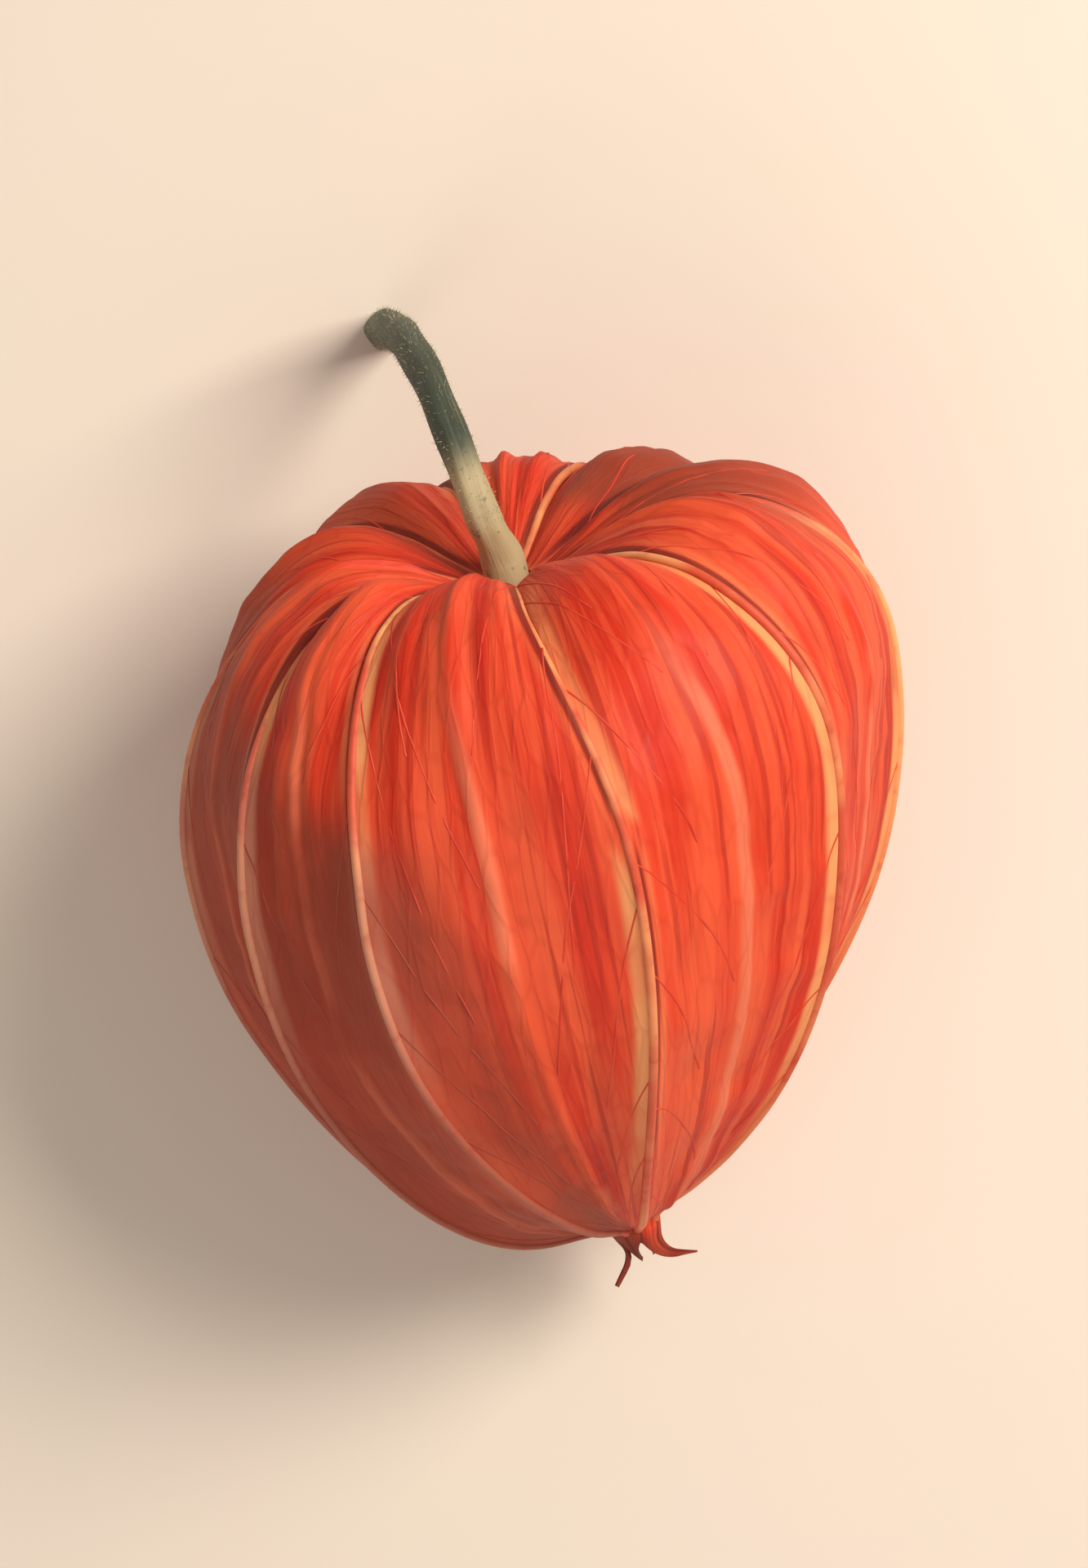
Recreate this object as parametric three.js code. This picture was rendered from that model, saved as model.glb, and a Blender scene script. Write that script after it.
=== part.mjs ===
// A picked physalis fruit: the papery lantern husk, the stem it hung on and the berry inside it.
// It lies on a flat surface, on the lowest panel of the husk, which its weight flattens, and on the
// cut end of the bent stem.
//
// Units are millimetres, +Z is up and the surface is z = 0.
// The husk is described in its own upright frame: +Y runs along the core line from the tip to the
// stem, +X is to the right and +Z is the side that faces up. Azimuth is the angle round the core
// line, 0 at the top and growing towards +X. The whole husk is then tilted by TILT, stem end up.
import * as THREE from "three";

// Driving dimensions
const TILT = THREE.MathUtils.degToRad(22);
const WALL = 0.7;
const FIT_GAP = 0.3; // clearance where one piece touches the next
const PRESS = 0.55; // how far the weight flattens the underside
const SLANT = 0.1; // how much higher the right shoulder stands for each mm sideways, at the top
const SLANT_AT_SIDE = 0.35; // share of that slant at azimuth 90
const UNDERSIDE = [-0.85, -0.2]; // cosines of azimuth, below and above the zone where the lean fades
const DROOP = 0.28; // how much further down the left side reaches for each mm sideways, near the tip
const DROOP_SOFT = 2; // mm over which the droop begins, at the middle
const DROOP_ZONE = [10.5, 15]; // sections over which the droop grows

// Husk sections from the stem hole to the tip ring. Each has the radius of the full round section,
// its place along the core line, how far the ribs and the middles of the panels sink below it, and
// its lean: the share that its right side is wider and its left side narrower than the radius.
const SECTIONS = [
  { radius: 1.45, along: 13.0, ribSink: 0, panelSink: 0, lean: 0 }, // the hole that the stem fills
  { radius: 2.6, along: 13.4, ribSink: 0.2, panelSink: 0, lean: 0.09 },
  { radius: 4.6, along: 14.6, ribSink: 0.7, panelSink: 0, lean: 0.11 }, // the hollow round the stem
  { radius: 7.6, along: 16.3, ribSink: 1.3, panelSink: 0, lean: 0.12 },
  { radius: 11.6, along: 17.2, ribSink: 1.7, panelSink: 0, lean: 0.12 }, // the top of the shoulders
  { radius: 16.0, along: 15.9, ribSink: 1.5, panelSink: 0, lean: 0.11 },
  { radius: 20.0, along: 12.1, ribSink: 0.9, panelSink: 0.1, lean: 0.09 },
  { radius: 22.5, along: 7.0, ribSink: 0.3, panelSink: 0.5, lean: 0.05 },
  { radius: 23.3, along: 0.8, ribSink: 0, panelSink: 1.1, lean: 0 }, // the widest girth
  { radius: 22.8, along: -5.5, ribSink: 0, panelSink: 1.3, lean: -0.04 },
  { radius: 21.2, along: -11.5, ribSink: 0, panelSink: 1.3, lean: -0.08 },
  { radius: 18.4, along: -17.2, ribSink: 0, panelSink: 1.2, lean: -0.125 },
  { radius: 14.8, along: -22.2, ribSink: 0, panelSink: 1.0, lean: -0.17 },
  { radius: 10.7, along: -26.4, ribSink: 0, panelSink: 0.8, lean: -0.22 },
  { radius: 6.9, along: -29.4, ribSink: 0, panelSink: 0.5, lean: -0.25 },
  { radius: 3.8, along: -31.3, ribSink: 0, panelSink: 0.25, lean: -0.2 },
  { radius: 2.1, along: -32.4, ribSink: 0, panelSink: 0.1, lean: -0.1 },
  { radius: 1.75, along: -33.2, ribSink: 0, panelSink: 0, lean: 0 }, // the ring that the teeth grow from
];
const LAST = SECTIONS.length - 1;

// Ten ribs, each with its azimuths in degrees at the shoulders, at the widest girth and near the tip.
// The panel between the fifth and the sixth lies on the surface.
const RIBS = [
  [3, 10, 5],
  [42, 49, 54],
  [81, 86, 90],
  [117, 124, 125],
  [154, 161, 160],
  [191, 199, 199],
  [228, 236, 237],
  [263, 270, 273],
  [296, 301, 307],
  [321, 327, 338],
];
const BOTTOM_PANEL = 4;
const BOTTOM_HOLLOW = 0.7; // that panel is less hollow than the others
const FULLER = 0.2; // how much more some panels bulge than others
const FULLER_PHASE = 2.4; // radians from one panel to the next
const SHOULDER = 4; // sections
const GIRTH = 8;
const TIP = 14;
const CORD_HEIGHT = 0.4; // each rib is a raised cord
const MID_VEIN_HEIGHT = 0.2;
const DENT = 0.16; // shallow uneven hollows, on the upper side
const DENTS_ROUND = 3; // dents round the husk
const DENTS_ALONG = 0.9; // radians from one section to the next
const SIDE_VEIN_HEIGHT = 0.14;
const SIDE_VEIN_EVERY = 3; // rows
const SIDE_VEIN_SLANT = 1.15; // sections between a side vein's root and the middle of its panel
const FADE = 3; // sections over which relief rises from nothing and falls away again

// Grid of the husk's wall
const PANEL_STEPS = [0, 0.09, 0.29, 0.5, 0.71, 0.91];
const BODY_ROWS = 30;
const TOOTH_ROWS = 5;
const COLUMNS = RIBS.length * PANEL_STEPS.length;

// The five teeth at the tip, each on every second rib. The bend is in degrees over the first curl
// mm. It turns the tooth sideways at side 0, and outwards at side 90.
const TEETH = new Map([
  [9, { length: 3.3, bend: 12, curl: 2.0, side: -90 }],
  [1, { length: 4.3, bend: 98, curl: 2.2, side: 62 }],
  [3, { length: 3.0, bend: 22, curl: 2.0, side: 90 }],
  [5, { length: 2.6, bend: 10, curl: 1.6, side: 90 }],
  [7, { length: 4.3, bend: 76, curl: 2.2, side: 84 }],
]);
const NOTCH = 0.8; // length of the wall past the ring between two teeth
const TOOTH_POINT = 1.7; // how fast a tooth's edges close in
const TOOTH_TAPER = 0.5; // share of its width that a tooth has lost at its point

// Stem and berry
const STEM_RADIUS = 1.1;
const NECK_RADIUS = SECTIONS[0].radius - FIT_GAP;
const DISC_RADIUS = 2.5; // the round seat inside the husk that carries the berry
const DISC_DEPTH = 0.9;
const NECK_LENGTH = 1.6; // straight length of the stem above the hole
const CUT_RADIUS = 1.4;
const CUT_UNDER = 0.25; // how far the stem is drawn past the surface, where its cut end is made flat
const BERRY_RADIUS = 7;
const BERRY_SQUASH = 0.95; // its length for each mm of its width
const BERRY_DIMPLE = 0.9;
const DIMPLE_EDGE = 0.8; // sine of the latitude where the dimple begins
const BERRY_RINGS = 14;
const BERRY_SIDES = 28;

const rad = THREE.MathUtils.degToRad;

// Catmull-Rom: a smooth value between b and c, with a and d as their outer neighbours
function through(a, b, c, d, t) {
  const bend = 2 * a - 5 * b + 4 * c - d + (3 * b - a - 3 * c + d) * t;
  return b + (t * (c - a + t * bend)) / 2;
}

// The section at a place between the listed ones. u counts sections, from 0 to LAST.
function sectionAt(u) {
  const i = Math.min(Math.floor(u), LAST - 1);
  const four = [i - 1, i, i + 1, i + 2].map((k) => SECTIONS[THREE.MathUtils.clamp(k, 0, LAST)]);
  const value = (name) => through(...four.map((s) => s[name]), u - i);
  return {
    radius: value("radius"),
    along: value("along"),
    ribSink: value("ribSink"),
    panelSink: value("panelSink"),
    lean: value("lean"),
  };
}

// 0 at both ends of the husk and 1 between, for relief that fades out at the stem and the tip
function fade(u, from, to) {
  const rise = THREE.MathUtils.smoothstep(u, from, from + FADE);
  return rise * (1 - THREE.MathUtils.smoothstep(u, to - FADE, to));
}

// Azimuth of a rib, in radians
function ribAzimuth(rib, u) {
  const turns = Math.floor(rib / RIBS.length);
  const [shoulder, girth, tip] = RIBS[rib - turns * RIBS.length];
  const above = THREE.MathUtils.lerp(shoulder, girth, THREE.MathUtils.smoothstep(u, SHOULDER, GIRTH));
  return rad(360 * turns + above + (tip - girth) * THREE.MathUtils.smoothstep(u, GIRTH, TIP));
}

// Outward direction of the smooth, unribbed husk, in the plane of the core line, as [out, along]
function slopeAt(u) {
  const step = 0.01; // sections
  const a = sectionAt(Math.max(u - step, 0));
  const b = sectionAt(Math.min(u + step, LAST));
  const out = a.along - b.along;
  const along = b.radius - a.radius;
  const size = Math.hypot(out, along);
  return [out / size, along / size];
}

// A point of the husk's skin. panel and s say where it lies between two ribs, raise lifts it and
// depth is how far inside the outer skin it is.
function skinPoint(panel, s, u, raise, depth) {
  const { radius, along, ribSink, panelSink, lean } = sectionAt(u);
  const azimuth = THREE.MathUtils.lerp(ribAzimuth(panel, u), ribAzimuth(panel + 1, u), s);
  const nearRib = (2 * s - 1) ** 2;
  const fullness = 1 + FULLER * Math.sin(FULLER_PHASE * panel + 1);
  const hollow = panel % RIBS.length === BOTTOM_PANEL ? BOTTOM_HOLLOW : 2 - fullness;
  const sink = ribSink * fullness * nearRib + panelSink * hollow * (1 - nearRib);
  const upper = 1 + Math.cos(azimuth);
  const dents = DENT * fade(u, 1, LAST) * upper * Math.sin(DENTS_ROUND * azimuth + DENTS_ALONG * u);
  const [out, up] = slopeAt(u);
  const lift = raise + dents - sink - depth;
  const offBelow = THREE.MathUtils.smoothstep(Math.cos(azimuth), ...UNDERSIDE);
  const reach = (radius + out * lift) * (1 + lean * offBelow * Math.sin(azimuth));
  const x = reach * Math.sin(azimuth);
  const onTop = THREE.MathUtils.lerp(SLANT_AT_SIDE, 1, Math.cos(azimuth));
  const slant = SLANT * onTop * x * (1 - THREE.MathUtils.smoothstep(u, SHOULDER, GIRTH));
  const leftward = (Math.hypot(x, DROOP_SOFT) - x) / 2;
  const droop = DROOP * leftward * THREE.MathUtils.smoothstep(u, ...DROOP_ZONE);
  return new THREE.Vector3(x, along + up * lift + slant - droop, reach * Math.cos(azimuth));
}

// The raised net on the skin: cords on the ribs, a weaker vein in each panel and slanting side veins
function reliefAt(step, row, u) {
  const shown = fade(u, 0.5, LAST - 0.5);
  if (step === 0) return CORD_HEIGHT * shown;
  const middle = PANEL_STEPS[step] === 0.5 ? MID_VEIN_HEIGHT : 0;
  const side = row % SIDE_VEIN_EVERY === 0 ? SIDE_VEIN_HEIGHT : 0;
  return Math.max(middle, side) * shown;
}

// The direction in which the wall runs at the tip ring
function wallDirection(panel, s) {
  const step = 0.02; // sections
  const before = skinPoint(panel, s, LAST - step, 0, 0);
  return skinPoint(panel, s, LAST, 0, 0).sub(before).normalize();
}

// A tooth continues the wall past the tip ring. share says how far along the tooth the point is.
// The wall first runs straight on for NOTCH, and then the tooth curls about its hinge.
function toothPoint(panel, step, share, depth) {
  const s = PANEL_STEPS[step];
  const rib = TEETH.has(panel) ? panel : (panel + 1) % RIBS.length;
  const offCentre = TEETH.has(panel) ? s : 1 - s;
  const tooth = TEETH.get(rib);
  const x = share * (NOTCH + (tooth.length - NOTCH) * (1 - offCentre) ** TOOTH_POINT);
  const past = Math.max(x - NOTCH, 0);
  const ahead = wallDirection(rib, 0);
  const azimuth = ribAzimuth(rib, LAST);
  const sideways = new THREE.Vector3(Math.cos(azimuth), 0, -Math.sin(azimuth));
  const outwards = new THREE.Vector3().crossVectors(ahead, sideways).normalize();
  const hinge = outwards.clone().multiplyScalar(Math.cos(rad(tooth.side)));
  hinge.addScaledVector(sideways, -Math.sin(rad(tooth.side)));
  const hingePoint = skinPoint(rib, 0, LAST, 0, 0).addScaledVector(ahead, NOTCH);
  const lever = skinPoint(panel, s, LAST, 0, depth).sub(hingePoint);
  lever.addScaledVector(wallDirection(panel, s), Math.min(x, NOTCH));
  lever.addScaledVector(sideways, (-TOOTH_TAPER * lever.dot(sideways) * past) / tooth.length);
  const turn = rad(tooth.bend) * Math.min(past / tooth.curl, 1);
  const curlRadius = tooth.curl / rad(tooth.bend);
  const across = new THREE.Vector3().crossVectors(hinge, ahead);
  const heading = ahead.clone().applyAxisAngle(hinge, turn);
  return hingePoint
    .addScaledVector(ahead, curlRadius * Math.sin(turn))
    .addScaledVector(across, curlRadius * (1 - Math.cos(turn)))
    .addScaledVector(heading, Math.max(past - tooth.curl, 0))
    .add(lever.applyAxisAngle(hinge, turn));
}

// The husk's outer or inner skin, as rows of points from the stem hole to the points of the teeth
function skinRows(depth) {
  const rows = [];
  for (let row = 0; row <= BODY_ROWS + TOOTH_ROWS; row += 1) {
    const ring = [];
    for (let column = 0; column < COLUMNS; column += 1) {
      const panel = Math.floor(column / PANEL_STEPS.length);
      const step = column % PANEL_STEPS.length;
      const s = PANEL_STEPS[step];
      if (row > BODY_ROWS) {
        ring.push(toothPoint(panel, step, (row - BODY_ROWS) / TOOTH_ROWS, depth));
        continue;
      }
      const even = (LAST * row) / BODY_ROWS;
      const slant = SIDE_VEIN_SLANT * (1 - Math.abs(2 * s - 1)) * fade(even, 2, LAST - 1);
      const u = Math.min(even + slant, LAST);
      ring.push(skinPoint(panel, s, u, reliefAt(step, row, even), depth));
    }
    rows.push(ring);
  }
  return rows;
}

// The highest that the surface below can be for the pressed husk, from its tilted skin
function restLift(rows) {
  const lowest = Math.min(...rows.flat().map((p) => p.z));
  return -lowest - PRESS;
}

// One closed surface from rows of points, each row a ring. The last row joins the first one.
function ringedSolid(rows) {
  const width = rows[0].length;
  const position = rows.flat().flatMap((p) => [p.x, p.y, p.z]);
  const index = [];
  rows.forEach((_, r) => {
    const next = (r + 1) % rows.length;
    for (let c = 0; c < width; c += 1) {
      const d = (c + 1) % width;
      const [a, b] = [r * width + c, r * width + d];
      const [e, f] = [next * width + c, next * width + d];
      index.push(a, e, b, b, e, f);
    }
  });
  const geometry = new THREE.BufferGeometry();
  geometry.setAttribute("position", new THREE.Float32BufferAttribute(position, 3));
  geometry.setIndex(index);
  geometry.computeVertexNormals();
  return geometry;
}

function tilted(p) {
  return p.applyAxisAngle(new THREE.Vector3(1, 0, 0), TILT);
}

const outer = skinRows(0).map((ring) => ring.map(tilted));
const inner = skinRows(WALL).map((ring) => ring.map(tilted));
const LIFT = restLift(outer);

// Where the husk would sink into the surface it is flat, and the wall keeps its thickness there.
function pressed(rows, floor) {
  rows.flat().forEach((p) => {
    p.z = Math.max(p.z + LIFT, floor);
  });
  return rows;
}

function huskGeometry() {
  return ringedSolid([...pressed(outer, 0), ...pressed(inner, WALL).reverse()]);
}

// A point of the husk's upright frame where it lies
function placed(x, along, z) {
  const p = tilted(new THREE.Vector3(x, along, z));
  p.z += LIFT;
  return p;
}

// The stem's core line, out of the husk and down to the surface. Its first points are on the husk's
// own core line, and the others are where the bent stem lies.
const DISC_TOP = SECTIONS[0].along - WALL - FIT_GAP;
const SHARP = 0.02; // mm between the two rings of a sharp step
const STEM_STATIONS = [
  { at: placed(0, DISC_TOP - DISC_DEPTH, 0), radius: DISC_RADIUS },
  { at: placed(0, DISC_TOP, 0), radius: DISC_RADIUS },
  { at: placed(0, DISC_TOP + SHARP, 0), radius: NECK_RADIUS },
  { at: placed(0, SECTIONS[0].along + NECK_LENGTH, 0), radius: NECK_RADIUS },
  { at: new THREE.Vector3(-0.7, 16.5, 30.2), radius: STEM_RADIUS },
  { at: new THREE.Vector3(-1.5, 21.5, 29.6), radius: STEM_RADIUS },
  { at: new THREE.Vector3(-2.4, 26.0, 25.2), radius: STEM_RADIUS },
  { at: new THREE.Vector3(-3.4, 29.2, 17.6), radius: 1.15 },
  { at: new THREE.Vector3(-4.3, 31.0, 8.8), radius: 1.25 },
  { at: new THREE.Vector3(-4.8, 31.8, -CUT_UNDER), radius: CUT_RADIUS },
];
const STRAIGHT_SPANS = 3; // the spans between stations that need no rings of their own
const STEM_SIDES = 12;
const STEM_STEPS = 4; // rings between two stations in the other spans

function stemGeometry() {
  const line = new THREE.CatmullRomCurve3(STEM_STATIONS.map((s) => s.at));
  const spans = STEM_STATIONS.length - 1;
  const rows = [];
  for (let i = 0; i <= spans * STEM_STEPS; i += 1) {
    const t = i / STEM_STEPS;
    const k = Math.min(Math.floor(t), spans - 1);
    if (k < STRAIGHT_SPANS && i % STEM_STEPS) continue;
    const centre = line.getPoint(t / spans);
    const ahead = line.getTangent(THREE.MathUtils.clamp(t / spans, 0.001, 0.999));
    const side = new THREE.Vector3(1, 0, 0).addScaledVector(ahead, -ahead.x).normalize();
    const up = new THREE.Vector3().crossVectors(side, ahead);
    const radius = THREE.MathUtils.lerp(STEM_STATIONS[k].radius, STEM_STATIONS[k + 1].radius, t - k);
    const ring = [];
    for (let j = 0; j < STEM_SIDES; j += 1) {
      const angle = (2 * Math.PI * j) / STEM_SIDES;
      const p = centre.clone().addScaledVector(side, radius * Math.cos(angle));
      p.addScaledVector(up, radius * Math.sin(angle));
      p.z = Math.max(p.z, 0);
      ring.push(p);
    }
    rows.push(ring);
  }
  return cappedTube(rows);
}

// A closed tube from rings of points, with a fan of triangles over each end
function cappedTube(rows) {
  const width = rows[0].length;
  const position = rows.flat().flatMap((p) => [p.x, p.y, p.z]);
  const middle = (ring) => ring.reduce((sum, p) => sum.add(p), new THREE.Vector3()).divideScalar(width);
  const [first, last] = [middle(rows[0]), middle(rows.at(-1))];
  position.push(first.x, first.y, first.z, last.x, last.y, last.z);
  const firstHub = rows.length * width;
  const index = [];
  for (let c = 0; c < width; c += 1) {
    const d = (c + 1) % width;
    for (let r = 0; r + 1 < rows.length; r += 1) {
      const [a, b] = [r * width + c, r * width + d];
      index.push(a, a + width, b, b, a + width, b + width);
    }
    const end = (rows.length - 1) * width;
    index.push(firstHub, c, d, firstHub + 1, end + d, end + c);
  }
  const geometry = new THREE.BufferGeometry();
  geometry.setAttribute("position", new THREE.Float32BufferAttribute(position, 3));
  geometry.setIndex(index);
  geometry.computeVertexNormals();
  return geometry;
}

// The berry is a little wider than it is long, with a dimple where its seat holds it
function berryGeometry() {
  const profile = [];
  for (let i = 0; i <= BERRY_RINGS; i += 1) {
    const angle = (Math.PI * i) / BERRY_RINGS - Math.PI / 2;
    const dimple = BERRY_DIMPLE * THREE.MathUtils.smoothstep(Math.sin(angle), DIMPLE_EDGE, 1);
    const x = i === 0 || i === BERRY_RINGS ? 0 : BERRY_RADIUS * Math.cos(angle);
    profile.push(new THREE.Vector2(x, BERRY_SQUASH * BERRY_RADIUS * Math.sin(angle) - dimple));
  }
  return new THREE.LatheGeometry(profile, BERRY_SIDES);
}

const papery = new THREE.MeshStandardMaterial({ color: 0xd2401c, roughness: 0.6, side: THREE.DoubleSide });
const stalky = new THREE.MeshStandardMaterial({ color: 0x8b8a5c, roughness: 0.75 });
const juicy = new THREE.MeshStandardMaterial({ color: 0xe2571c, roughness: 0.3 });

function namedMesh(name, geometry, material) {
  const mesh = new THREE.Mesh(geometry, material);
  mesh.name = name;
  return mesh;
}

const husk = namedMesh("husk", huskGeometry(), papery);
const stem = namedMesh("stem", stemGeometry(), stalky);
const berry = namedMesh("berry", berryGeometry(), juicy);
berry.position.copy(placed(0, DISC_TOP - DISC_DEPTH - FIT_GAP - BERRY_SQUASH * BERRY_RADIUS, 0));
berry.rotation.x = TILT;

// The origin is under the middle of the fruit, on the surface it lies on
const fruit = new THREE.Group();
fruit.add(husk, stem, berry);
const extent = new THREE.Box3().setFromObject(fruit, true);
const middle = extent.getCenter(new THREE.Vector3());
fruit.position.set(-middle.x, -middle.y, 0);

export default fruit;
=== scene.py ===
import math

import bpy
import numpy as np
from mathutils import Matrix, Vector, noise


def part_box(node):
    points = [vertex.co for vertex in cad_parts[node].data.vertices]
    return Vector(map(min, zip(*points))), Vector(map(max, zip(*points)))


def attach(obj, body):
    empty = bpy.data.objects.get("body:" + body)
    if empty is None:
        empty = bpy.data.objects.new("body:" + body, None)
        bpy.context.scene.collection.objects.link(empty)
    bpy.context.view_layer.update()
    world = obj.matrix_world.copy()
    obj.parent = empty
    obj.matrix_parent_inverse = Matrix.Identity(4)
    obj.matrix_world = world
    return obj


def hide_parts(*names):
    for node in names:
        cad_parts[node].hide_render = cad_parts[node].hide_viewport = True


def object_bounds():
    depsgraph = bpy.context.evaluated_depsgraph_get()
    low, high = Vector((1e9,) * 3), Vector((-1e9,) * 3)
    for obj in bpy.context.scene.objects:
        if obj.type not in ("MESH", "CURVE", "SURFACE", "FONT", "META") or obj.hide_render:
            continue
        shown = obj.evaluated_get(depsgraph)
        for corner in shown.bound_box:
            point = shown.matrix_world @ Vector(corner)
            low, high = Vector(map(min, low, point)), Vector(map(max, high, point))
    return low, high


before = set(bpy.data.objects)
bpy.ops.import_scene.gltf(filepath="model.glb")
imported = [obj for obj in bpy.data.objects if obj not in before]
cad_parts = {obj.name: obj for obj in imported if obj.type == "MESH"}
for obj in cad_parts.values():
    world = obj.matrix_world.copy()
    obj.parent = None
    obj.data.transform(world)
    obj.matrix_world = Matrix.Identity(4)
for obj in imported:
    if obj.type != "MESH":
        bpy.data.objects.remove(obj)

bl_info = {
    "name": "Physalis lantern fruit",
    "version": (1, 0, 0),
    "blender": (4, 5, 0),
    "location": "View3D > Sidebar > Physalis",
    "description": "Dresses a picked physalis fruit: its papery husk, its stem and its berry",
    "category": "Add Mesh",
}

CAD_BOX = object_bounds()
MM = 0.001

# Form of the husk, in millimetres and degrees, as the solids have it
TILT = math.radians(22)
SECTIONS = np.array([
    # radius, along, rib sink, panel sink, lean
    (1.45, 13.0, 0.0, 0.0, 0.0),
    (2.6, 13.4, 0.2, 0.0, 0.09),
    (4.6, 14.6, 0.7, 0.0, 0.11),
    (7.6, 16.3, 1.3, 0.0, 0.12),
    (11.6, 17.2, 1.7, 0.0, 0.12),
    (16.0, 15.9, 1.5, 0.0, 0.11),
    (20.0, 12.1, 0.9, 0.1, 0.09),
    (22.5, 7.0, 0.3, 0.5, 0.05),
    (23.3, 0.8, 0.0, 1.1, 0.0),
    (22.8, -5.5, 0.0, 1.3, -0.04),
    (21.2, -11.5, 0.0, 1.3, -0.08),
    (18.4, -17.2, 0.0, 1.2, -0.125),
    (14.8, -22.2, 0.0, 1.0, -0.17),
    (10.7, -26.4, 0.0, 0.8, -0.22),
    (6.9, -29.4, 0.0, 0.5, -0.25),
    (3.8, -31.3, 0.0, 0.25, -0.2),
    (2.1, -32.4, 0.0, 0.1, -0.1),
    (1.75, -33.2, 0.0, 0.0, 0.0),
])
LAST = len(SECTIONS) - 1
SLANT = 0.1  # rise of the right shoulder for each mm sideways
SLANT_AT_SIDE = 0.35
UNDERSIDE = (-0.85, -0.2)  # cosines of azimuth between which the lean comes in
DROOP = 0.28  # droop of the lower left side for each mm sideways
DROOP_SOFT = 2
DROOP_ZONE = (10.5, 15)
DENT = 0.16
DENTS_ROUND = 3
DENTS_ALONG = 0.9
FADE = 3
RIBS = np.array([
    # azimuth at the shoulders, at the widest girth and near the tip
    (3, 10, 5),
    (42, 49, 54),
    (81, 86, 90),
    (117, 124, 125),
    (154, 161, 160),
    (191, 199, 199),
    (228, 236, 237),
    (263, 270, 273),
    (296, 301, 307),
    (321, 327, 338),
])
PANELS = len(RIBS)
SHOULDER = 4
GIRTH = 8
TIP = 14
BOTTOM_PANEL = 4
BOTTOM_HOLLOW = 0.7
FULLER = 0.2
FULLER_PHASE = 2.4
TEETH = {
    # rib: length, bend, curl, side
    9: (3.3, 12, 2.0, -90),
    1: (4.3, 98, 2.2, 62),
    3: (3.0, 22, 2.0, 90),
    5: (2.6, 10, 1.6, 90),
    7: (4.3, 76, 2.2, 84),
}
NOTCH = 0.8
TOOTH_POINT = 1.7
TOOTH_TAPER = 0.5

# The side with painted shade reaches to these azimuths, in degrees, at these shares of the way to the
# tip.
SHADE_HEIGHTS = (0.3, 0.35, 0.4, 0.44, 0.49, 0.54, 0.59, 0.65, 0.71, 0.85, 0.95)
SHADE_EDGES = (-110, -72, -45, -24, -17, -14, -12, -11, -11, -5, 6)
# On the cords its edge is straight: this far to the left for each millimetre up, and fading from
# the first to the second of these places, in millimetres.
SHADE_SLOPE = 0.45
SHADE_CORDS = (-7, -12)
# The ribs whose painted highlight strip is on their left side
TURNED_RIBS = (1, 2, 3, 4)
# The painted highlight strip of the front rib passes from its right side to its left over these
# sections.
FRONT_RIB = 0
FRONT_TURN = (5.7, 9.3)

# Where the stem and the berry are, in millimetres
NECK_RADIUS = 1.15
NECK_LENGTH = 1.6
DISC_RADIUS = 2.5
DISC_TOP = 12.0
DISC_DEPTH = 0.9
FIT_GAP = 0.3
BERRY_RADIUS = 7
BERRY_SQUASH = 0.95
BERRY_DIMPLE = 0.9
BEND_POINTS = (
    # the bent stem outside the husk, from the husk's core line and the surface
    (-0.7, 16.5, 30.2),
    (-1.5, 21.5, 29.6),
    (-2.4, 26.0, 25.2),
    (-3.4, 29.2, 17.6),
    (-4.3, 31.0, 8.8),
    (-4.8, 31.8, -0.25),
)
BEND_RADII = (1.1, 1.1, 1.1, 1.15, 1.25, 1.4)


def srgb(red, green, blue):
    """A colour given as it looks on a screen, from 0 to 255, as scene values."""
    return tuple(
        c / 12.92 if c <= 0.04045 else ((c + 0.055) / 1.055) ** 2.4
        for c in (red / 255, green / 255, blue / 255)
    )


def smooth(x, low, high):
    """0 below low, 1 above high and an even rise between."""
    t = np.clip((x - low) / (high - low), 0, 1)
    return t * t * (3 - 2 * t)


def fade(u, low, high):
    """1 along the husk and 0 towards both of its ends."""
    return smooth(u, low, low + FADE) * (1 - smooth(u, high - FADE, high))


def between(stations, at):
    """A smooth line through the stations, even in their numbers."""
    last = len(stations) - 1
    i = np.clip(np.floor(at).astype(int), 0, last - 1)
    t = (at - i)[..., None]
    a, b, c, d = (stations[np.clip(i + k, 0, last)] for k in (-1, 0, 1, 2))
    bend = 2 * a - 5 * b + 4 * c - d + (3 * b - a - 3 * c + d) * t
    return b + t * (c - a + t * bend) / 2


def section(u):
    """The husk's measures at u, which counts sections from the stem hole, as five arrays."""
    return np.moveaxis(between(SECTIONS, u), -1, 0)


def rib_azimuth(rib, u):
    """Azimuth of a rib in radians. Ribs past the last one go on round the husk."""
    shoulder, girth, tip = np.moveaxis(RIBS[rib % PANELS], -1, 0)
    above = shoulder + (girth - shoulder) * smooth(u, SHOULDER, GIRTH)
    return np.radians(360 * (rib // PANELS) + above + (tip - girth) * smooth(u, GIRTH, TIP))


def outward(u):
    """Outward direction of the smooth husk in the plane of its core line, as out and along."""
    step = 0.01
    before = section(np.maximum(u - step, 0))
    after = section(np.minimum(u + step, LAST))
    out = before[1] - after[1]
    up = after[0] - before[0]
    size = np.hypot(out, up)
    return out / size, up / size


def panel_azimuth(panel, s, u):
    """Azimuth of a place between two ribs."""
    left = rib_azimuth(panel, u)
    return left + (rib_azimuth(panel + 1, u) - left) * s


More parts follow.
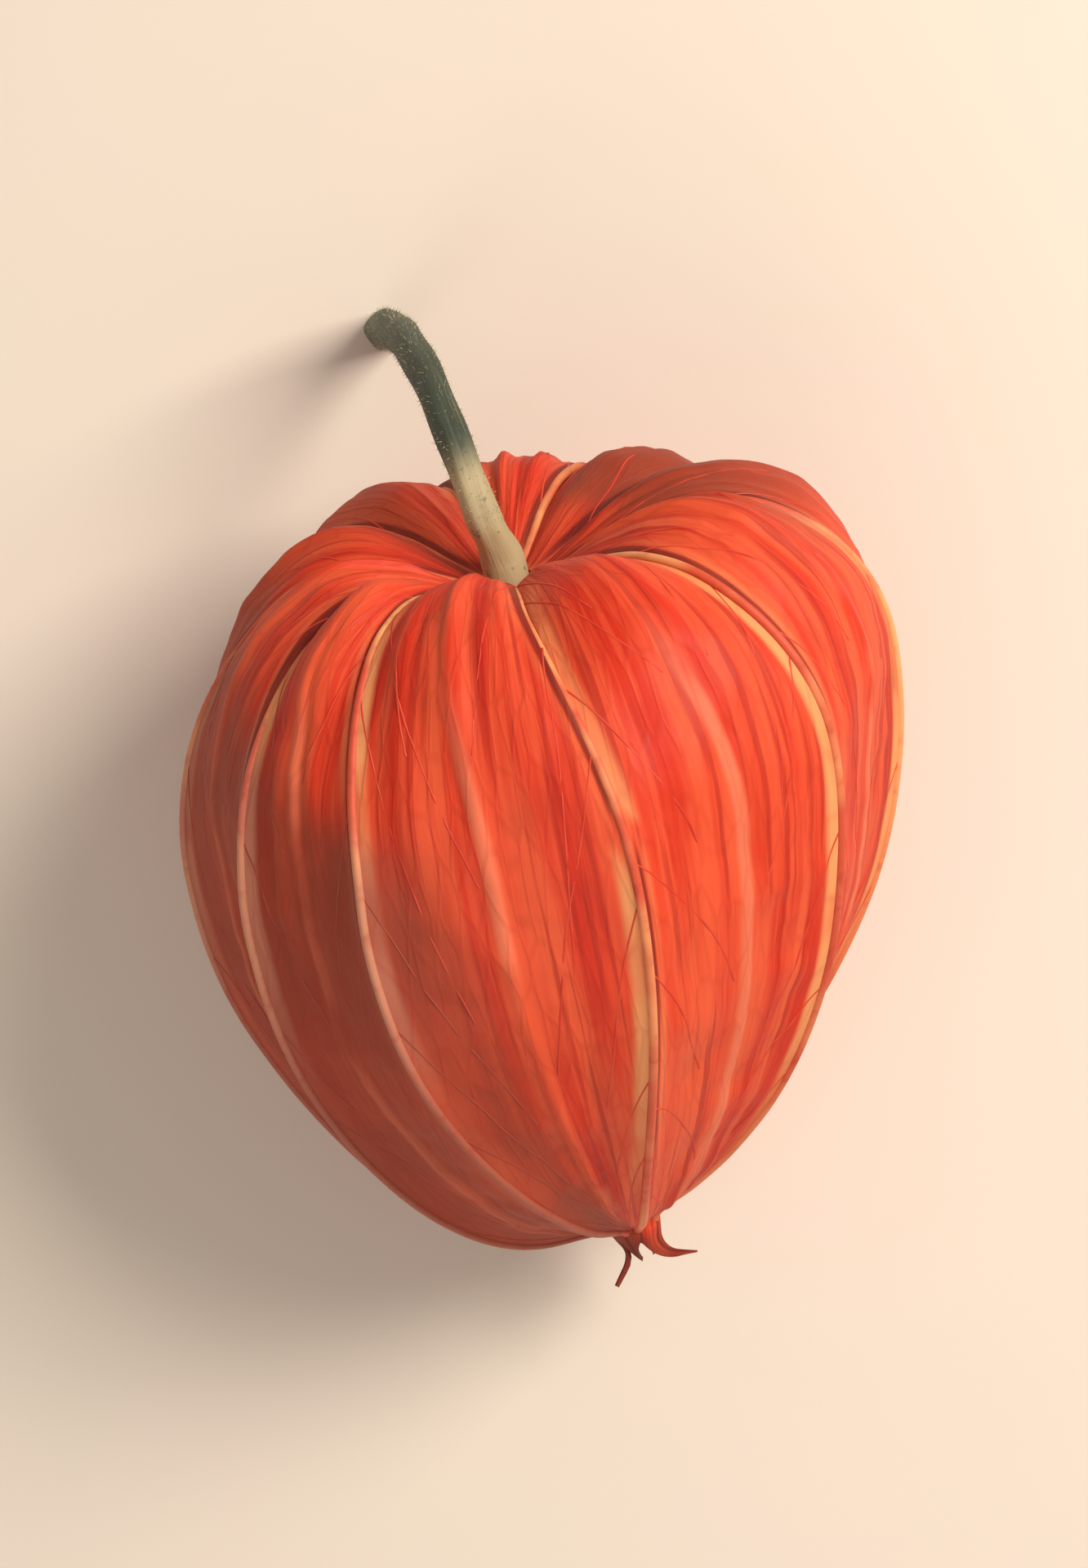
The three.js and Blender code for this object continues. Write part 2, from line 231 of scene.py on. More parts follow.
def skin(panel, s, u, lift):
    """Points of the husk in its own upright frame. lift raises them from the smooth skin."""
    radius, along, rib_sink, panel_sink, lean = section(u)
    azimuth = panel_azimuth(panel, s, u)
    near_rib = (2 * s - 1) ** 2
    fullness = 1 + FULLER * np.sin(FULLER_PHASE * (panel % PANELS) + 1)
    hollow = np.where(panel % PANELS == BOTTOM_PANEL, BOTTOM_HOLLOW, 2 - fullness)
    sink = rib_sink * fullness * near_rib + panel_sink * hollow * (1 - near_rib)
    upper = 1 + np.cos(azimuth)
    dents = DENT * fade(u, 1, LAST) * upper * np.sin(DENTS_ROUND * azimuth + DENTS_ALONG * u)
    out, up = outward(u)
    raised = lift + dents - sink
    off_below = smooth(np.cos(azimuth), *UNDERSIDE)
    reach = (radius + out * raised) * (1 + lean * off_below * np.sin(azimuth))
    x = reach * np.sin(azimuth)
    on_top = SLANT_AT_SIDE + (1 - SLANT_AT_SIDE) * np.cos(azimuth)
    slant = SLANT * on_top * x * (1 - smooth(u, SHOULDER, GIRTH))
    leftward = (np.hypot(x, DROOP_SOFT) - x) / 2
    droop = DROOP * leftward * smooth(u, *DROOP_ZONE)
    return np.stack([x, along + up * raised + slant - droop, reach * np.cos(azimuth)], axis=-1)


def panel_width(panel, u):
    """Millimetres along the skin from one rib to the next."""
    return (rib_azimuth(panel + 1, u) - rib_azimuth(panel, u)) * section(u)[0]


def berry_centre():
    low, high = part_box("berry")
    return (Vector(low) + Vector(high)) / 2


BERRY_ALONG = DISC_TOP - DISC_DEPTH - FIT_GAP - BERRY_SQUASH * BERRY_RADIUS
TILT_TURN = Matrix.Rotation(TILT, 3, "X")
# The husk's own frame stands here. The berry hangs on its core line.
CORE_FOOT = berry_centre() - TILT_TURN @ Vector((0, BERRY_ALONG * MM, 0))


def to_world(points):
    """Points of the husk's upright frame, in millimetres, where they lie, in metres."""
    return np.asarray(points) * MM @ np.array(TILT_TURN).T + np.array(CORE_FOOT)


# Meshes

def ring_faces(rows, columns, closed):
    """Quads between rings of points, with the last ring joined to the first if closed."""
    r = np.arange(rows if closed else rows - 1)[:, None]
    c = np.arange(columns)[None, :]
    here, after = r * columns, (r + 1) % rows * columns
    right = (c + 1) % columns
    quads = np.stack([here + c, after + c, after + right, here + right], axis=-1)
    return quads.reshape(-1, 4)


def new_piece(name, points, faces, material):
    """A smooth mesh object whose place is in its mesh."""
    mesh = bpy.data.meshes.new(name)
    mesh.from_pydata([tuple(p) for p in points], [], [tuple(f) for f in faces])
    if mesh.validate():
        raise RuntimeError(f"{name} had faces that Blender took out")
    mesh.shade_smooth()
    mesh.materials.append(material)
    piece = bpy.data.objects.new(name, mesh)
    bpy.context.scene.collection.objects.link(piece)
    return piece


def point_attribute(piece, name, values):
    """Keeps a number or a vector for each point of the piece, for its material to read."""
    values = np.ascontiguousarray(values, dtype=np.float32)
    kind, field = ("FLOAT", "value") if values.ndim == 1 else ("FLOAT_VECTOR", "vector")
    kept = piece.data.attributes.new(name, kind, "POINT")
    kept.data.foreach_set(field, values.ravel())


def settle(piece, node):
    """Gives a finished piece its body and hides the CAD part of its node."""
    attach(piece, "root")
    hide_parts(node)


def only_shape(name, source, tree, values):
    """What a geometry tree makes of the source object, as a plain mesh object."""
    modifier = source.modifiers.new("shape", "NODES")
    modifier.node_group = tree
    for item in tree.interface.items_tree:
        if item.item_type == "SOCKET" and item.in_out == "INPUT" and item.name in values:
            modifier[item.identifier] = values[item.name]
    seen = source.evaluated_get(bpy.context.evaluated_depsgraph_get())
    mesh = bpy.data.meshes.new_from_object(seen)
    source.modifiers.remove(modifier)
    bpy.data.objects.remove(source)
    mesh.name = name
    mesh.shade_smooth()
    if not mesh.polygons:
        raise RuntimeError(f"{name} came out empty")
    piece = bpy.data.objects.new(name, mesh)
    bpy.context.scene.collection.objects.link(piece)
    return piece


# Node trees

class Amount:
    """A number that changes over a surface. Sums and products of it add Math nodes."""

    def __init__(self, shader, socket):
        self.shader = shader
        self.socket = socket

    def math(self, operation, *others):
        made = self.shader.node("ShaderNodeMath", {"operation": operation}, dict(enumerate(others)))
        return Amount(self.shader, made.outputs["Value"])

    def __add__(self, other):
        return self.math("ADD", self, other)

    __radd__ = __add__

    def __sub__(self, other):
        return self.math("SUBTRACT", self, other)

    def __rsub__(self, other):
        return self.math("SUBTRACT", other, self)

    def __mul__(self, other):
        return self.math("MULTIPLY", self, other)

    __rmul__ = __mul__

    def rise(self, low, high):
        """0 below low and 1 above high, or the other way round if low is the larger."""
        made = self.shader.node(
            "ShaderNodeMapRange",
            {"interpolation_type": "SMOOTHSTEP"},
            {"Value": self, "From Min": low, "From Max": high},
        )
        return Amount(self.shader, made.outputs["Result"])


class Nodes:
    """A node tree that is built one node at a time."""

    def __init__(self, tree):
        self.tree = tree

    def node(self, kind, settings=None, values=None):
        """One node. Its settings are made first, and then its sockets get values or links."""
        made = self.tree.nodes.new(kind)
        for name, value in (settings or {}).items():
            setattr(made, name, value)
        for name, value in (values or {}).items():
            source = value.socket if isinstance(value, Amount) else value
            if isinstance(source, bpy.types.NodeSocket):
                self.tree.links.new(source, made.inputs[name])
            else:
                made.inputs[name].default_value = source
        return made


class Shape(Nodes):
    """A geometry node tree with named inputs."""

    def __init__(self, name, inputs):
        super().__init__(bpy.data.node_groups.new(name, "GeometryNodeTree"))
        face = self.tree.interface
        face.new_socket("Geometry", in_out="INPUT", socket_type="NodeSocketGeometry")
        for label, kind, default in inputs:
            socket = face.new_socket(label, in_out="INPUT", socket_type=kind)
            if default is not None:
                socket.default_value = default
        face.new_socket("Geometry", in_out="OUTPUT", socket_type="NodeSocketGeometry")
        self.given = self.node("NodeGroupInput").outputs

    def end(self, geometry, material):
        """Closes the tree with real geometry and its material."""
        real = self.node("GeometryNodeRealizeInstances", values={"Geometry": geometry})
        values = {"Geometry": real.outputs["Geometry"], "Material": material}
        painted = self.node("GeometryNodeSetMaterial", values=values)
        self.node("NodeGroupOutput", values={"Geometry": painted.outputs["Geometry"]})
        return self.tree


def cord_tree():
    """Round cords along curves. Each curve's own radius thins the cord."""
    tree = Shape("Cords along paths", (
        ("Cord Radius", "NodeSocketFloat", 0.4 * MM),
        ("Sides", "NodeSocketInt", 8),
        ("Material", "NodeSocketMaterial", None),
    ))
    values = {"Resolution": tree.given["Sides"], "Radius": tree.given["Cord Radius"]}
    profile = tree.node("GeometryNodeCurvePrimitiveCircle", values=values)
    values = {"Curve": tree.given["Geometry"], "Profile Curve": profile.outputs["Curve"]}
    swept = tree.node("GeometryNodeCurveToMesh", values={**values, "Fill Caps": True})
    return tree.end(swept.outputs["Mesh"], tree.given["Material"])


HAIR_LEAN = 0.5  # radians
HAIR_SIZES = (0.5, 1.2)  # shares of the given length


def down_tree():
    """Short pointed hairs scattered over a surface."""
    tree = Shape("Down on a surface", (
        ("Density", "NodeSocketFloat", 4e6),
        ("Length", "NodeSocketFloat", 0.4 * MM),
        ("Thickness", "NodeSocketFloat", 0.02 * MM),
        ("Seed", "NodeSocketInt", 3),
        ("Material", "NodeSocketMaterial", None),
    ))
    given = tree.given
    values = {"Mesh": given["Geometry"], "Density": given["Density"], "Seed": given["Seed"]}
    points = tree.node("GeometryNodeDistributePointsOnFaces", values=values)
    values = {"Vertices": 3, "Radius Bottom": given["Thickness"], "Depth": given["Length"]}
    hair = tree.node("GeometryNodeMeshCone", values=values)
    turn = tree.node(
        "FunctionNodeRandomValue",
        {"data_type": "FLOAT_VECTOR"},
        {0: (-HAIR_LEAN, -HAIR_LEAN, 0.0), 1: (HAIR_LEAN, HAIR_LEAN, 6.28), "Seed": given["Seed"]},
    )
    turned = tree.node(
        "FunctionNodeRotateEuler",
        {"space": "LOCAL"},
        {"Rotation": points.outputs["Rotation"], "Rotate By": turn.outputs["Value"]},
    )
    size = tree.node(
        "FunctionNodeRandomValue",
        {"data_type": "FLOAT"},
        {2: HAIR_SIZES[0], 3: HAIR_SIZES[1], "Seed": given["Seed"]},
    )
    placed = tree.node(
        "GeometryNodeInstanceOnPoints",
        values={
            "Points": points.outputs["Points"],
            "Instance": hair.outputs["Mesh"],
            "Rotation": turned.outputs["Rotation"],
            "Scale": size.outputs[1],
        },
    )
    return tree.end(placed.outputs["Instances"], given["Material"])


# Materials

class Shader(Nodes):
    """A material's node tree."""

    def __init__(self, name):
        self.material = bpy.data.materials.new(name)
        self.material.use_nodes = True
        super().__init__(self.material.node_tree)
        self.tree.nodes.clear()

    def split(self, vector):
        """The three parts of a vector."""
        made = self.node("ShaderNodeSeparateXYZ", values={"Vector": vector})
        return tuple(Amount(self, made.outputs[name]) for name in "XYZ")

    def kept(self, name):
        """The three parts of a vector that the mesh keeps for each point."""
        made = self.node("ShaderNodeAttribute", {"attribute_name": name})
        return self.split(made.outputs["Vector"])

    def kept_number(self, name):
        """The number that the mesh keeps for each point."""
        made = self.node("ShaderNodeAttribute", {"attribute_name": name})
        return Amount(self, made.outputs["Fac"])

    def place(self):
        """The point's own place in metres."""
        return self.node("ShaderNodeTexCoord").outputs["Object"]

    def along(self, vector, axis):
        """How far a point lies along an axis."""
        settings = {"operation": "DOT_PRODUCT"}
        made = self.node("ShaderNodeVectorMath", settings, {0: vector, 1: tuple(axis)})
        return Amount(self, made.outputs["Value"])

    def join(self, x, y, z):
        made = self.node("ShaderNodeCombineXYZ", values={"X": x, "Y": y, "Z": z})
        return made.outputs["Vector"]

    def cloud(self, vector, scale, detail=3.0):
        """Soft noise from 0 to 1."""
        values = {"Vector": vector, "Scale": scale, "Detail": detail}
        made = self.node("ShaderNodeTexNoise", values=values)
        return Amount(self, made.outputs["Fac"])

    def net(self, vector, scale):
        """Distance to the nearest thread of an uneven net."""
        made = self.node(
            "ShaderNodeTexVoronoi",
            {"feature": "DISTANCE_TO_EDGE"},
            {"Vector": vector, "Scale": scale},
        )
        return Amount(self, made.outputs["Distance"])

    def blend(self, amount, first, second):
        """The first colour where amount is 0 and the second where it is 1."""
        named = [c if isinstance(c, bpy.types.NodeSocket) else (*c, 1.0) for c in (first, second)]
        made = self.node(
            "ShaderNodeMix",
            {"data_type": "RGBA"},
            {0: amount, 6: named[0], 7: named[1]},
        )
        return made.outputs[2]

    def bump(self, height, distance, strength):
        values = {"Height": height, "Distance": distance, "Strength": strength}
        return self.node("ShaderNodeBump", values=values).outputs["Normal"]

    def finish(self, inner=None, **values):
        """Ends the tree in one shader. Names of sockets are given with _ for each space.

        inner is the light under the skin: its weight, its reach by colour and its scale in mm.
        """
        if inner:
            weight, reach, scale = inner
            values.update(Subsurface_Weight=weight, Subsurface_Radius=reach)
            values.update(Subsurface_Scale=scale * MM)
        named = {name.replace("_", " "): value for name, value in values.items()}
        shader = self.node("ShaderNodeBsdfPrincipled", values=named)
        self.node("ShaderNodeOutputMaterial", values={"Surface": shader.outputs["BSDF"]})
        return self.material


def husk_paper(look):
    """Thin papery skin with streaks along it, painted highlight beside the ribs and down the panels'
    middles, and painted shade in the folds by the stem, beside the ribs, over the lower left and in the
    hollow's right side.
    """
    shader = Shader("Husk paper")
    sine, cosine, height = shader.kept("core_place")
    to_rib, side, to_middle = shader.kept("rib_place")
    shade_paint = shader.kept_number("shade_mask")
    fibres = shader.cloud(shader.join(sine * 11.0, cosine * 11.0, height * 3.2), 1.0, 4.0)
    threads = shader.cloud(shader.join(sine * 30.0, cosine * 30.0, height * 3.6), 1.0, 3.0)
    stretches = shader.cloud(shader.join(sine * 3.0, cosine * 3.0, height * 7.0), 1.0, 3.0)
    patches = shader.cloud(shader.place(), 75.0, 4.0)
    colour = shader.blend(fibres.rise(0.36, 0.64), look.red, look.light_red)
    colour = shader.blend(threads.rise(0.53, 0.64) * 0.6, colour, look.deep_red)
    colour = shader.blend(threads.rise(0.43, 0.34) * 0.45, colour, look.light_red)
    uneven = 0.64 + patches.rise(0.3, 0.6) * 0.24 + fibres.rise(0.66, 0.42) * 0.12
    # Painted shade: maroon over the lower left and the hollow's right side, as if lit from the upper
    # right.
    colour = shader.blend(shade_paint * uneven, colour, look.maroon)
    # Painted highlight: a pink strip down the middle of each panel, where it bulges, weaker in the
    # painted shade.
    middle = to_middle.rise(0.75, 0.25) * height.rise(0.3, 0.42) * height.rise(0.86, 0.7)
    middle = middle * stretches.rise(0.38, 0.52) * (0.75 - shade_paint * 0.5)
    colour = shader.blend(middle, colour, look.highlight_pink)
    # Painted highlight: a pale strip beside each rib on the side towards the light, ash and fainter
    # where it lies in the painted shade.
    right = side.rise(0.0, 0.06) * to_rib.rise(0.15, 0.3) * to_rib.rise(1.4, 0.75)
    left = side.rise(0.0, -0.06) * to_rib.rise(0.55, 0.65) * to_rib.rise(1.2, 0.75) * 0.3
    along = height.rise(0.16, 0.34) * height.rise(0.82, 0.6)
    strip = shader.blend(shade_paint, look.pale, look.ash)
    shown = (0.36 + stretches.rise(0.4, 0.55) * 0.46) * (1 - shade_paint * height.rise(0.46, 0.62) * 0.85)
    colour = shader.blend((right + left) * along * shown, colour, strip)
    # Painted shadow: a dark line along the other side of each rib.
    line = side.rise(0.0, -0.05) * (to_rib + height.rise(0.5, 0.95) * 0.28).rise(0.62, 0.42)
    colour = shader.blend(line * height.rise(0.05, 0.12) * 0.75, colour, look.line)
    # Painted shade: deep red laid on in streaks in the hollow round the stem.
    near_stem = height.rise(0.17, 0.05)
    colour = shader.blend(near_stem * threads.rise(0.46, 0.56) * 0.5, colour, look.deep_red)
    colour = shader.blend(height.rise(0.06, 0.015) * fibres.rise(0.35, 0.6) * 0.6, colour, look.hub)
    colour = shader.blend(height.rise(0.985, 1.06) * 0.75, colour, look.dry)
    mesh = shader.net(shader.join(sine * 20.0, cosine * 20.0, height * 20.0), 1.0)
    colour = shader.blend(mesh.rise(0.1, 0.0) * 0.14, colour, look.deep_red)
    grain = shader.cloud(shader.place(), 1100.0)
    relief = mesh.rise(0.12, 0.0) * 0.35 + threads * 0.8 + grain * 0.5
    return shader.finish(
        Base_Color=colour,
        Roughness=0.5 + fibres * 0.18,
        Normal=shader.bump(relief, 0.08 * MM, 0.7),
        inner=(0.12, (1.0, 0.35, 0.15), 0.7),
        Specular_IOR_Level=0.26,
    )


def cord_place(shader):
    """How far up the core line a point of a cord is, in millimetres, and how much painted shade it gets.
    """
    axis = TILT_TURN @ Vector((0, 1, 0))
    along = shader.along(shader.place(), axis / MM) - CORE_FOOT.dot(axis) / MM
    right = shader.along(shader.place(), Vector((1, 0, 0)) / MM) - CORE_FOOT.x / MM
    shade_paint = (right + along * SHADE_SLOPE).rise(*SHADE_CORDS) * right.rise(0.0, -3.0)
    return along, shade_paint


def rib_cord(look):
    """The cords of the ribs, pale orange over the shoulders, their own paler colour with painted
    highlight in it, redder to the tip, with painted shade on the left.
    """
    shader = Shader("Husk rib")
    along, shade_paint = cord_place(shader)
    stretches = shader.cloud(shader.place(), 90.0, 3.0)
    grain = shader.cloud(shader.place(), 900.0, 2.0)
    colour = shader.blend(stretches.rise(0.4, 0.58), look.rib_red, look.pale)
    colour = shader.blend(along.rise(2.0, -16.0) * 0.6, colour, look.rib_red)
    # Painted shade on the left: the pale stretches turn ash high up and maroon lower down.
    colour = shader.blend(shade_paint * along.rise(14.0, 0.0) * 0.85, colour, look.ash)
    colour = shader.blend(shade_paint * along.rise(-4.0, -16.0) * 0.7, colour, look.maroon)
    colour = shader.blend(grain.rise(0.5, 0.75) * 0.35, colour, look.deep_red)
    return shader.finish(
        Base_Color=colour,
        Roughness=0.5 + grain * 0.2,
        Normal=shader.bump(grain, 0.05 * MM, 0.6),
        inner=(0.1, (1.0, 0.35, 0.15), 0.5),
    )


def husk_vein(look):
    """The side veins, close to the paper in colour, with painted shade over the lower left."""
    shader = Shader("Husk vein")
    tone = shader.cloud(shader.place(), 300.0, 2.0)
    _, shade_paint = cord_place(shader)
    colour = shader.blend(tone.rise(0.35, 0.65), look.vein, look.red)
    colour = shader.blend(shade_paint * 0.9, colour, look.maroon)
    return shader.finish(Base_Color=colour, Roughness=0.55 + tone * 0.1)


def stem_skin(look):
    """Stalk skin, tan by the husk and dark green further out, the green partly painted shadow, with fine
    fibres and specks.
    """
    shader = Shader("Stem skin")
    sine, cosine, length = shader.kept("stem_place")
    fibres = shader.cloud(shader.join(sine * 7.0, cosine * 7.0, length * 9.0), 1.0, 4.0)
    specks = shader.cloud(shader.place(), 1500.0, 2.0)
    blotch = shader.cloud(shader.place(), 160.0, 3.0)
    # Past about half its length the stalk turns dark green: its own green with a sharp-edged painted
    # shadow, deepest just past the change and fading towards the cut.
    far = length.rise(0.49, 0.56)
    colour = shader.blend(far, look.tan, look.green)
    colour = shader.blend(far * length.rise(0.95, 0.6) * 0.7, colour, look.dark)
    colour = shader.blend(blotch.rise(0.45, 0.75) * 0.4, colour, look.dark)
    colour = shader.blend(fibres.rise(0.54, 0.76) * 0.4, colour, look.light)
    colour = shader.blend(specks.rise(0.62, 0.72) * 0.5, colour, look.dark)
    colour = shader.blend(length.rise(0.985, 0.998) * 0.8, colour, look.cut)
    return shader.finish(
        Base_Color=colour,
        Roughness=0.5 + fibres * 0.25,
        Normal=shader.bump(fibres + specks * 0.6, 0.09 * MM, 0.7),
        inner=(0.08, (1.0, 0.8, 0.3), 0.5),
    )


def stem_down(look):
    """The fine pale hairs of the stem."""
    shader = Shader("Stem down")
    tone = shader.cloud(shader.place(), 600.0, 1.0)
    colour = shader.blend(tone.rise(0.3, 0.7), look.light, look.cut)
    return shader.finish(Base_Color=colour, Roughness=0.6 + tone * 0.1)


def berry_skin(look):
    """Smooth glossy skin with faint specks over the seeds."""
    shader = Shader("Berry skin")
    patches = shader.cloud(shader.place(), 190.0, 3.0)
    seeds = shader.net(shader.place(), 620.0)
    colour = shader.blend(patches.rise(0.3, 0.7), look.orange, look.red)
    colour = shader.blend(seeds.rise(0.16, 0.02) * 0.18, colour, look.pale)
    return shader.finish(
        Base_Color=colour,
        Roughness=0.2 + patches * 0.12,
        Normal=shader.bump(seeds.rise(0.0, 0.3), 0.05 * MM, 0.3),
        inner=(0.3, (1.0, 0.4, 0.1), 1.5),
        Coat_Weight=0.3,
    )


def floor_paint(look):
    """A plain pale surface."""
    shader = Shader("Floor")
    tone = shader.cloud(shader.place(), 40.0, 2.0)
    colour = shader.blend(tone.rise(0.2, 0.8), look.floor, look.floor_warm)
    return shader.finish(Base_Color=colour, Roughness=0.85 + tone * 0.1)


# Pieces of the husk

BODY_ROWS = 236
INNER_ROWS = 38
TOOTH_ROWS = 20
INNER_TOOTH_ROWS = 8
PANEL_COLUMNS = 30
COLUMNS = PANELS * PANEL_COLUMNS
TEETH_SPAN = 1.2  # sections that the teeth count for in the paper's pattern

# Relief of the husk and its widths along the skin, in millimetres
FOOT_HEIGHT = 0.2
FOOT_WIDTH = 0.75
MIDDLE_HEIGHT = 0.2
MIDDLE_WIDTH = 0.45
CLEAR_OF_RIBS = (0.4, 2.2)
PUCKER_HEIGHT = 0.06
PUCKERS_ROUND = 9


def column_places(u):
    """Panel and place in the panel for rings at u, set closer by the ribs and the mid vein."""
    even = np.arange(PANEL_COLUMNS) / PANEL_COLUMNS
    closer = even - 0.045 * np.sin(4 * math.pi * even) - 0.03 * np.sin(2 * math.pi * even)
    panel = np.zeros(u.shape, dtype=int) + np.repeat(np.arange(PANELS), PANEL_COLUMNS)
    return panel, np.zeros(u.shape) + np.tile(closer, PANELS)


def husk_relief(panel, s, u, look):
    """Millimetres that the skin's small folds and the feet of its cords stand out."""
    width = panel_width(panel, u)
    to_rib = np.minimum(s, 1 - s) * width
    to_middle = np.abs(s - 0.5) * width
    shown = fade(u, 0.5, LAST - 0.5)
    foot = FOOT_HEIGHT * np.exp(-((to_rib / FOOT_WIDTH) ** 2))
    middle = MIDDLE_HEIGHT * np.exp(-((to_middle / MIDDLE_WIDTH) ** 2)) * smooth(u, 3, 6)
    clear = smooth(to_rib, *CLEAR_OF_RIBS)
    azimuth = panel_azimuth(panel, s, u)
    sway = 0.5 * np.sin(0.8 * u + 1.7 * panel)
    folds = np.sin(2 * math.pi * (3.5 * s + 0.37 * panel) + sway)
    folds += 0.6 * np.sin(2 * math.pi * (6.5 * s + 0.61 * panel) - 1.4 * sway + 0.3 * u)
    strength = 0.5 + 0.5 * np.sin(0.9 * u + 2.3 * panel + 3.0 * s)
    gathers = 1 + 1.1 * smooth(u, 1, 2.5) * (1 - smooth(u, 3.5, 6.5))
    pleats = look.pleat / MM * folds * strength * clear * gathers
    base = skin(panel, s, u, 0.0)
    crinkles = np.array([
        noise.fractal(Vector(p) * 0.16, 1.0, 2.0, 3) for p in base.reshape(-1, 3)
    ]).reshape(to_rib.shape)
    puckers = PUCKER_HEIGHT * np.sin(PUCKERS_ROUND * azimuth + 2.1 * u) * smooth(u, GIRTH, 12) * clear
    waves = look.crinkle / MM * crinkles * clear + puckers
    return (foot + middle + pleats + waves) * shown


def tooth_points(panel, s, share, depth):
    """The points of the tip's teeth along one column of the wall."""
    centre_left = panel in TEETH
    rib = panel if centre_left else (panel + 1) % PANELS
    off_centre = s if centre_left else 1 - s
    length, bend, curl, side = TEETH[rib]
    bend, side = math.radians(bend), math.radians(side)
    x = share * (NOTCH + (length - NOTCH) * (1 - off_centre) ** TOOTH_POINT)
    past = np.maximum(x - NOTCH, 0)

    def on_ring(a_panel, a_place, u, lift):
        values = (np.array([a_panel]), np.array([a_place]), np.array([float(u)]), lift)
        return Vector(skin(*values)[0])

    def wall_direction(a_panel, a_place):
        before = on_ring(a_panel, a_place, LAST - 0.02, 0.0)
        return (on_ring(a_panel, a_place, LAST, 0.0) - before).normalized()

    ahead = wall_direction(rib, 0.0)
    azimuth = float(rib_azimuth(np.array([rib]), np.array([float(LAST)]))[0])
    sideways = Vector((math.cos(azimuth), 0, -math.sin(azimuth)))
    outwards = ahead.cross(sideways).normalized()
    hinge = outwards * math.cos(side) - sideways * math.sin(side)
    hinge_point = on_ring(rib, 0.0, LAST, 0.0) + ahead * NOTCH
    foot = on_ring(panel, s, LAST, -depth) - hinge_point
    local = wall_direction(panel, s)
    across = hinge.cross(ahead)
    curl_radius = curl / bend
    points = []
    for reach, beyond in zip(x, past):
        lever = foot + local * min(reach, NOTCH)
        lever -= sideways * (TOOTH_TAPER * lever.dot(sideways) * beyond / length)
        turn = bend * min(beyond / curl, 1)
        turning = Matrix.Rotation(turn, 3, hinge)
        point = hinge_point + ahead * (curl_radius * math.sin(turn))
        point += across * (curl_radius * (1 - math.cos(turn)))
        point += turning @ ahead * max(beyond - curl, 0)
        points.append(point + turning @ lever)
    return points


def skin_rows(look, depth, body_rows, tooth_rows, relief):
    """Rings of points from the stem hole to the points of the teeth, with their places."""
    u = np.linspace(0, LAST, body_rows + 1)[:, None] + np.zeros(COLUMNS)
    panel, s = column_places(u)
    lift = husk_relief(panel, s, u, look) if relief else np.zeros(u.shape)
    body = skin(panel, s, u, lift - depth)
    share = np.arange(1, tooth_rows + 1) / tooth_rows
    teeth = np.array([tooth_points(p, place, share, depth) for p, place in zip(panel[0], s[0])])
    rows = np.concatenate([body, np.moveaxis(teeth, 0, 1)])
    past_tip = LAST + share[:, None] * TEETH_SPAN + np.zeros(COLUMNS)
    return rows, np.concatenate([u, past_tip])


def pressed(points, floor):
    """The weight of the fruit flattens the skin where it would sink into the surface."""
    placed = to_world(points)
    placed[..., 2] = np.maximum(placed[..., 2], floor)
    return placed


def painted_shade(azimuth, u):
    """Amount of painted shade, as if lit from the upper right: most at the lower left and in the
    hollow's right side.
    """
    turn = np.degrees(azimuth)
    turn = np.where(turn > 180, turn - 360, turn)
    edge = np.interp(u / LAST, SHADE_HEIGHTS, SHADE_EDGES)
    width = 8 + 14 * (1 - smooth(u / LAST, 0.38, 0.5))
    left = smooth(edge - turn, -0.5 * width, width) * (1 - 0.5 * smooth(-turn, 95, 130))
    hollow = smooth(turn, 60, 82) * (1 - smooth(turn, 135, 156))
    return np.maximum(left, hollow * smooth(u, 2.2, 3.2) * (1 - smooth(u, 4.9, 6.2)))


def husk_places(u):
    """What the paper's pattern follows, for each point of rings at u.

    core_place has the sine and the cosine of the azimuth and the share of the way to the tip.
    rib_place has the distance to the nearer rib, its side, which is above 0 where the rib's painted
    highlight strip is, and the distance to the middle of the panel. The last entry is the amount of
    painted shade.
    """
    panel, s = column_places(u)
    held = np.clip(u, 0, LAST)
    azimuth = panel_azimuth(panel, s, held)
    core = np.stack([np.sin(azimuth), np.cos(azimuth), u / LAST], axis=-1)
    width = panel_width(panel, held)
    to_rib = np.minimum(s, 1 - s) * width
    rib = np.where(s < 0.5, panel, panel + 1) % PANELS
    right = np.where(np.isin(rib, TURNED_RIBS), -1, 1)
    right = np.where(rib == FRONT_RIB, 1 - 2 * smooth(u, *FRONT_TURN), right)
    side = right * np.sin(2 * math.pi * s)
    ribs = np.stack([to_rib, side, width / 2 - to_rib], axis=-1)
    return {"core_place": core, "rib_place": ribs, "shade_mask": painted_shade(azimuth, u)}


def make_husk_skin(look):
    """The papery wall of the husk, from the stem hole over the shoulders to the five teeth."""
    outer, outer_u = skin_rows(look, 0.0, BODY_ROWS, TOOTH_ROWS, True)
    wall = look.wall / MM
    inner, inner_u = skin_rows(look, wall, INNER_ROWS, INNER_TOOTH_ROWS, False)
    rows = np.concatenate([pressed(outer, 0.0), pressed(inner, look.wall)[::-1]])
    places = np.concatenate([outer_u, inner_u[::-1]])
    faces = ring_faces(len(rows), COLUMNS, True)
    piece = new_piece("husk_skin", rows.reshape(-1, 3), faces, husk_paper(look))
    for name, values in husk_places(places).items():
        point_attribute(piece, name, values.reshape(-1, *values.shape[2:]))
    settle(piece, "husk")


